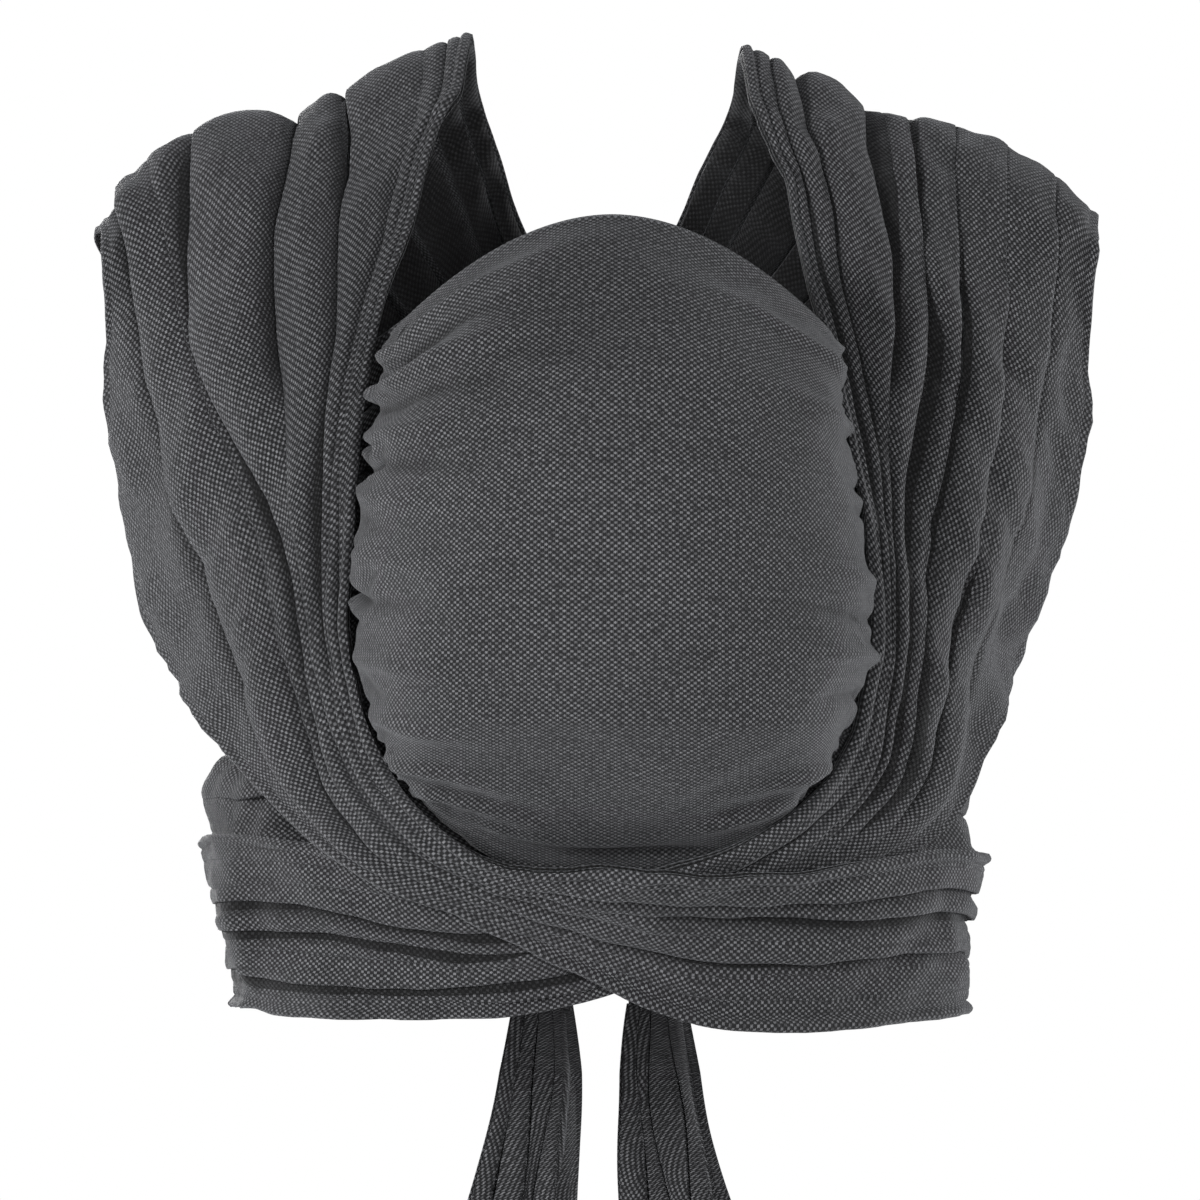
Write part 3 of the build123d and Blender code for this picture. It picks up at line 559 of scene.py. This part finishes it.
def pouch_sheet():
    nphi = 241
    phis = np.linspace(-129, 129, nphi)
    # rows: rolled inside the top rail, over the rail, down the dome, under and up inside
    nr = 60
    vs = np.concatenate([np.linspace(RAIL_FOLD, 0.0, nr), np.linspace(0.0, 1.0, 170)])
    P = np.array([[pouch_point(v, f) for f in phis] for v in vs])
    # smooth the lofted rows
    dome = P[nr:]
    for _ in range(6):
        dome[1:-1] = (dome[:-2] + 2 * dome[1:-1] + dome[2:]) / 4
    P[nr:] = dome
    # the cloth is cut straight, so its length is the girth of the widest row
    widest = float(np.linalg.norm(np.diff(P[nr:], axis=1), axis=2).sum(1).max())
    n = normals_of(P[nr:])
    c = np.array([POUCH_X, -120, 160])
    if (n * (P[nr:] - c)).sum(-1).mean() < 0:
        n = -n
    into = np.clip((vs[:nr] * (len(vs) - nr - 1)).astype(int), 0, len(n) - 1)
    arc = np.concatenate([[0], np.cumsum(np.linalg.norm(np.diff(P[nr:, nphi // 2], axis=0), axis=1))])
    girth = np.concatenate([[0], np.cumsum(np.linalg.norm(np.diff(P[nr + len(n) // 2], axis=0), axis=1))]) - 220
    A, G = np.meshgrid(arc, girth, indexing="ij")
    F = np.ones(len(arc))[:, None] * phis[None]
    vv = vs[nr:][:, None]
    left = smooth((-F - 48) / 62)
    right = smooth((F - 60) / 55)
    wander = Noise(3, (60, 140), (60, 160))(A, G)
    edge_fade = smooth(vv / 0.06) * smooth((1.0 - vv) / 0.10)
    bunch = np.clip(1 + 0.55 * Noise(4, (35, 90), (300, 700))(A, G), 0.2, 1.9)
    wl = np.sin(2 * np.pi * (A + 0.16 * (G + 150)) / 19.5 + 2.2 * wander) + 0.35 * np.sin(2 * np.pi * (A - 0.1 * G) / 11.3 + 2.0 + 1.6 * wander)
    wr = np.sin(2 * np.pi * (A - 0.12 * (G - 150)) / 22.0 + 2.0 * wander + 1.0) + 0.3 * np.sin(2 * np.pi * (A + 0.1 * G) / 13.1 + wander)
    upper = smooth((0.62 - vv) / 0.3)
    d = (2.9 * left * wl * bunch * (0.6 + 0.5 * upper) + 1.7 * right * wr * bunch) * edge_fade
    # long wrinkles drawn across from the right-hand root, fading into the dome
    def crease(v0, v1, f0, f1, amp, wd):
        t = np.clip((F - f0) / (f1 - f0), 0, 1)
        line = v0 + (v1 - v0) * t
        gate = smooth((F - f0) / (f1 - f0) * abs(f1 - f0) / 22.0) * smooth((1 - (F - f0) / (f1 - f0)) / 0.6)
        return 1.45 * amp * gate * np.exp(-((vv - line) / (1.1 * wd)) ** 2)
    for v0, v1, f0, f1, amp, wd in [
            (0.10, 0.05, -100, 4, 3.4, 0.014), (0.135, 0.115, -102, -6, -3.0, 0.012), (0.17, 0.16, -104, 8, 3.8, 0.015),
            (0.205, 0.225, -104, -14, -3.0, 0.013), (0.25, 0.29, -102, -2, 3.2, 0.016), (0.295, 0.35, -102, -18, -2.6, 0.014),
            (0.34, 0.42, -102, -16, 2.8, 0.016), (0.44, 0.51, -102, -22, 2.4, 0.016), (0.53, 0.56, -102, -30, -2.2, 0.013),
            (0.62, 0.67, -102, -22, 2.4, 0.016), (0.72, 0.80, -98, -16, 2.0, 0.015), (0.82, 0.91, -94, 4, 2.6, 0.014),
            (0.88, 0.95, -84, 16, 2.6, 0.011), (0.93, 0.967, -60, 40, 2.2, 0.009), (0.955, 0.978, -24, 66, -2.0, 0.008),
            (0.13, 0.09, 100, 16, 2.2, 0.013), (0.24, 0.21, 100, 30, 1.8, 0.015),
            (0.52, 0.47, 104, 34, 2.6, 0.013), (0.575, 0.545, 104, 26, -2.4, 0.011), (0.63, 0.62, 104, 28, 3.0, 0.013),
            (0.70, 0.71, 104, 36, -2.2, 0.012), (0.84, 0.91, 100, 14, 2.4, 0.013), (0.91, 0.955, 80, -4, 2.0, 0.009)]:
        d = d + crease(v0, v1, f0, f1, amp, wd)
    d = d + 0.9 * Noise(9, (90, 220), (90, 240))(A, G) * edge_fade + 0.22 * Noise(13, (20, 60), (24, 70))(A, G) * edge_fade
    dome = P[nr:] + n * d[..., None]
    # painted shade: the crease attribute darkens the pouch wrinkles where they dip below their smoothed surface
    blur = d.copy()
    for _ in range(30):
        blur[1:-1] = (blur[:-2] + 2 * blur[1:-1] + blur[2:]) / 4
    painted_fold_shade = np.clip((blur - d) / 2.6, 0, 1) * 0.75
    # the gathered root is pulled back into the folds
    top = dome[into] - n[into] * (2.4 * np.sin(np.linspace(0.5, 1, nr) * np.pi) + 0.9)[:, None, None]
    top[-1] = dome[0] - n[0] * 1.2 + np.array([0, 0, 0.4])
    dome[0] += np.array([0, 0, 0.5])
    # under the seat and up inside, between the baby and the wearer
    tuck = []
    prof = [(-137.5, 30), (-135, 25.5), (-130, 23), (-124, 24.5), (-118, 32), (-113, 50), (-111, 78), (-110, 107)]
    for y, z in prof:
        wdt = 46 + 8 * float(smooth((z - 48) / 60))
        s = phis / 129
        tuck.append(np.stack([POUCH_X + wdt * s, y + 4 * s ** 2, z + 2.5 * s ** 2 + 0 * s], -1))
    tuck = catmull(np.array(tuck), np.linspace(0, len(prof) - 1, 40))
    grow = np.linspace(0, 1, 40)[:, None]
    # gathered across: shallow under the seat, deep where it stands up
    mid = tuck[:, nphi // 2]
    along = np.gradient(mid, axis=0)
    out = np.stack([0 * along[:, 0], along[:, 2], -along[:, 1]], -1)
    out /= np.linalg.norm(out, axis=1)[:, None]
    deep = 1.6 * smooth(grow * 3) + 5.6 * smooth((tuck[:, nphi // 2, 2][:, None] - 30) / 22)
    tuck += out[:, None] * (deep * np.sin(np.linspace(0, 92, nphi))[None])[..., None]
    P = np.concatenate([top, dome, tuck])
    ul = np.concatenate([[0], np.cumsum(np.linalg.norm(np.diff(P[:, nphi // 2], axis=0), axis=1))])
    vl = np.concatenate([np.zeros((len(P), 1)), np.cumsum(np.linalg.norm(np.diff(P, axis=1), axis=2), axis=1)], axis=1)
    vl = vl - vl[:, nphi // 2][:, None]
    # the cloth's length runs across the pouch
    uv = np.stack([vl * MM, np.repeat(ul[:, None], nphi, 1) * MM], -1)
    low = np.zeros(P.shape[:2])
    low[nr:nr + len(painted_fold_shade)] = painted_fold_shade
    ob = grid_object("cloth_front_panel", P, uv, thick=0.9, material=CLOTH, crease=low)
    area = 0.0
    a = np.cross(P[1:, 1:] - P[:-1, :-1], P[1:, :-1] - P[:-1, 1:])
    area = 0.5 * np.linalg.norm(a, axis=2).sum() * 1e-6
    print("front_panel one-layer area", round(area, 4), "m2, height", round(float(ul[-1])), "widest", round(widest), flush=True)
    return ob, widest


panel, panel_len = pouch_sheet()
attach(panel, "root")
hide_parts("pouch_upper", "pouch_lower", "pouch_seat_tuck")


# --------------------------------------------------------------- knot, tails
def bundle(name, path, radii, folds, seed, twist=0.6):
    """Gathered cloth drawn into a rope: a sheet folded into deep radial pleats."""
    path = np.array(path, float)
    step = 120
    t = np.linspace(0, len(path) - 1, step)
    c = catmull(path, t)
    rad = catmull(np.array(radii, float), t)       # (step, 2)
    tan = np.gradient(c, axis=0)
    tan /= np.linalg.norm(tan, axis=1, keepdims=True)
    up = np.array([0, 1.0, 0.05])
    e1 = np.cross(tan, up)
    e1 /= np.linalg.norm(e1, axis=1, keepdims=True)
    e2 = np.cross(e1, tan)
    per = 8
    M = folds * per
    th = np.linspace(0, 2 * np.pi, M, endpoint=False)
    rng = np.random.RandomState(seed)
    deep = np.repeat(0.62 + 0.2 * rng.rand(folds), per)
    ph = (np.arange(M) % per) / per
    wave = np.abs(np.sin(np.pi * ph)) ** 0.55      # wide rounded outside, narrow slot
    r = (1 - deep * (1 - wave))[None] * np.ones((step, 1))
    s = np.linspace(0, 1, step)[:, None]
    ang = th[None] + twist * s * 2 + 0.10 * np.sin(5 * s * 6.28 + th[None] * 3)
    lump = 1 + 0.05 * np.sin(3 * ang + 9 * s + seed)
    p = c[:, None] + e1[:, None] * (rad[:, 0:1] * r * lump * np.cos(ang))[..., None] + e2[:, None] * (rad[:, 1:2] * r * lump * np.sin(ang))[..., None]
    d = np.concatenate([[0], np.cumsum(np.linalg.norm(np.diff(c, axis=0), axis=1))])
    per_len = np.linalg.norm(np.diff(p, axis=1), axis=2).sum(1).mean()
    uv = np.stack([np.repeat(d[:, None], M, 1) * MM, (th / (2 * np.pi) * per_len)[None].repeat(step, 0) * MM], -1)
    ob = grid_object(name, p, uv, thick=0.7, material=CLOTH, wrap=True)
    print(f"{name}: length {d[-1]:.0f} developed {per_len:.0f}", flush=True)
    return ob, d[-1]


Y0 = KNOT_Y
first, first_len = bundle("cloth_knot_first",
    [(-27, Y0 + 8, 3), (-16, Y0 + 6, 9), (-2, Y0 + 8, 12), (12, Y0 + 15, 8), (22, Y0 + 24, 1), (20, Y0 + 33, -9), (8, Y0 + 37, -13), (-8, Y0 + 34, -9), (-18, Y0 + 29, -12), (-23, Y0 + 26, -22), (-25, Y0 + 24, -31)],
    [(9, 14), (10, 13), (11, 12), (12, 11), (12, 11), (12, 11), (12, 11), (12, 11), (12, 10), (13, 9), (13, 7)], 34, 3)
second, second_len = bundle("cloth_knot_second",
    [(27, Y0 + 8, -1), (16, Y0 + 8, -9), (2, Y0 + 9, -11), (-12, Y0 + 16, -5), (-23, Y0 + 25, 2), (-19, Y0 + 34, 10), (-6, Y0 + 37, 12), (9, Y0 + 33, 7), (20, Y0 + 28, -3), (24, Y0 + 26, -18), (25, Y0 + 24, -31)],
    [(9, 14), (10, 13), (11, 12), (12, 11), (12, 11), (12, 11), (12, 11), (12, 11), (12, 10), (13, 9), (13, 7)], 34, 5)
for ob, node, ln in ((first, "knot_first_half", first_len), (second, "knot_second_half", second_len)):
    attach(ob, "root")
    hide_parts(node)


def tail(sign, name, seed):
    """A hanging tail: flat folds that fan out towards the cloth's end."""
    x0, y0 = sign * 25, KNOT_Y + 24
    secs = [(-30, 26, 8), (-60, 36, 12), (-110, 46, 13), (-170, 60, 12), (-240, 74, 10), (-331, 84, 9)]
    z = np.linspace(-30, -331, 110)
    w = np.interp(-z, [-a[0] for a in secs], [a[1] for a in secs])
    dd = np.interp(-z, [-a[0] for a in secs], [a[2] for a in secs])
    xc = x0 + sign * 22 * smooth((-30 - z) / 200)
    pos, lay = [], []
    strips, hidden, over = 5, 8, 0.9
    rng = np.random.RandomState(seed)
    edges = np.concatenate([[0], np.cumsum(0.7 + 0.6 * rng.rand(strips))])
    edges /= edges[-1]
    for k in range(strips):
        a0, a1 = edges[k], edges[k + 1]
        for i in range(9):
            pos.append(a0 + (a1 - a0) * i / 8); lay.append((0, i / 8, k))
        if k == strips - 1:
            break
        pos.append(a1); lay.append((0.5, 1.0, k))
        for layer in range(1, hidden + 1):
            seq = (0.97, 0.6, 0.3, 1 - over) if layer % 2 else (1 - over, 0.3, 0.6, 0.97)
            for a in seq:
                pos.append(a0 + (a1 - a0) * a); lay.append((layer, a, k))
    pos = np.array(pos)
    lv = np.array([l[0] for l in lay]); fr = np.array([l[1] for l in lay]); ks = np.array([l[2] for l in lay])
    LL = (-30 - z)[:, None] * np.ones(len(pos))[None]
    sw = Noise(seed, (120, 260), (0.8, 2.0))(LL, pos[None] * 2)
    X = xc[:, None] + w[:, None] * (pos[None] - 0.5) + 1.4 * sw * smooth(LL / 60)
    gap = dd[:, None] / (hidden + 2)
    lip = np.clip(dd[:, None] * 0.22, 1, 3)
    crown = 0.16 * w[:, None] * (edges[1:] - edges[:-1])[ks][None]
    h = np.where(lv[None] == 0, crown * np.sin(np.pi * fr[None]) + lip * smooth((fr[None] - .4) / .6) - 1.6 * np.exp(-fr[None] / .08) * (ks[None] > 0), np.where(lv[None] == 0.5, lip - 0.4, -gap * lv[None]))
    h = h + dd[:, None] / 2 - lip
    h = h + 1.3 * Noise(seed + 4, (90, 220), (0.6, 1.4))(LL, pos[None] * 2) * smooth(LL / 50)
    X = X + np.where(lv[None] == 0.5, lip * 0.9, np.where(lv[None] == 0, lip * 0.7 * smooth((fr[None] - .8) / .2), 0)) * (ks[None] < strips - 1)
    Y = y0 + h
    Z = z[:, None] * np.ones(len(pos))[None]
    # the end is not cut dead level: each fold hangs to its own length
    Z = Z - smooth(LL / 300) * (0.0 - 5.0 * np.abs(Noise(seed + 9, (400, 900), (0.5, 1.1))(LL * 0, pos[None] * 3)) / 1.5 + 0) * -1
    p = np.stack([X, Y, Z], -1)
    if sign < 0:
        pass
    per = np.linalg.norm(np.diff(p, axis=1), axis=2)
    vl = np.concatenate([np.zeros((len(z), 1)), np.cumsum(per, axis=1)], axis=1)
    uv = np.stack([LL * MM, vl * MM], -1)
    ob = grid_object(name, p, uv, thick=0.75, material=CLOTH)
    print(name, "developed mean", round(per.sum(1).mean()), flush=True)
    return ob


for sign, name in ((-1, "tail_right"), (+1, "tail_left")):
    ob = tail(sign, "cloth_" + name, 40 + sign)
    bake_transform(ob)
    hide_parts(name)

# ------------------------------------------------------------------- floor
def floor():
    r, n = 6.0, 64
    verts = [(0, 0, -1.0)] + [(r * math.cos(2 * math.pi * i / n), r * math.sin(2 * math.pi * i / n), -1.0) for i in range(n)]
    faces = [(0, 1 + i, 1 + (i + 1) % n) for i in range(n)]
    me = bpy.data.meshes.new("floor")
    me.from_pydata(verts, [], faces)
    ob = bpy.data.objects.new("floor", me)
    bpy.context.scene.collection.objects.link(ob)
    mat = bpy.data.materials.new("floor_pale")
    mat.use_nodes = True
    b = mat.node_tree.nodes["Principled BSDF"]
    b.inputs["Base Color"].default_value = (0.74, 0.74, 0.74, 1)
    b.inputs["Roughness"].default_value = 0.85
    me.materials.append(mat)


floor()


# ------------------------------------------------------------------- lights
def area(name, loc, target, size, power, colour=(1, 1, 1)):
    d = bpy.data.lights.new(name, "AREA")
    d.shape = "RECTANGLE"
    d.size, d.size_y = size
    d.energy = power
    d.color = colour
    o = bpy.data.objects.new(name, d)
    o.location = loc
    o.rotation_euler = (Vector(target) - Vector(loc)).to_track_quat("-Z", "Y").to_euler()
    bpy.context.scene.collection.objects.link(o)


area("key", (-2.2, -2.5, 0.85), (0, 0, 0.15), (0.6, 0.6), 270)
area("front", (0.3, -3.2, 0.2), (0, 0, 0.15), (0.7, 0.7), 185)
area("rim_left", (-2.4, 0.9, 0.6), (0, 0, 0.1), (0.8, 1.2), 90)
area("rim_right", (2.4, 0.5, 0.6), (0, 0, 0.1), (0.8, 1.2), 120)
area("back", (-0.6, 3.0, 0.5), (0, 0, 0.1), (1.2, 1.2), 170)
world = bpy.data.worlds.new("world")
bpy.context.scene.world = world
world.use_nodes = True
wn, wl = world.node_tree.nodes, world.node_tree.links
tc = wn.new("ShaderNodeTexCoord")
sx = wn.new("ShaderNodeSeparateXYZ")
ab = wn.new("ShaderNodeMath")
ab.operation = "ABSOLUTE"
mr = wn.new("ShaderNodeMapRange")
mr.interpolation_type = "SMOOTHSTEP"
mr.inputs["From Min"].default_value = 0.16
mr.inputs["From Max"].default_value = 0.62
mr.inputs["To Min"].default_value = 1.0
mr.inputs["To Max"].default_value = 0.30
wl.new(tc.outputs["Generated"], sx.inputs[0])
wl.new(sx.outputs[2], ab.inputs[0])
wl.new(ab.outputs[0], mr.inputs["Value"])
wl.new(mr.outputs[0], wn["Background"].inputs[1])
wn["Background"].inputs[0].default_value = (1, 1, 1, 1)
bpy.context.scene.view_settings.view_transform = "Standard"
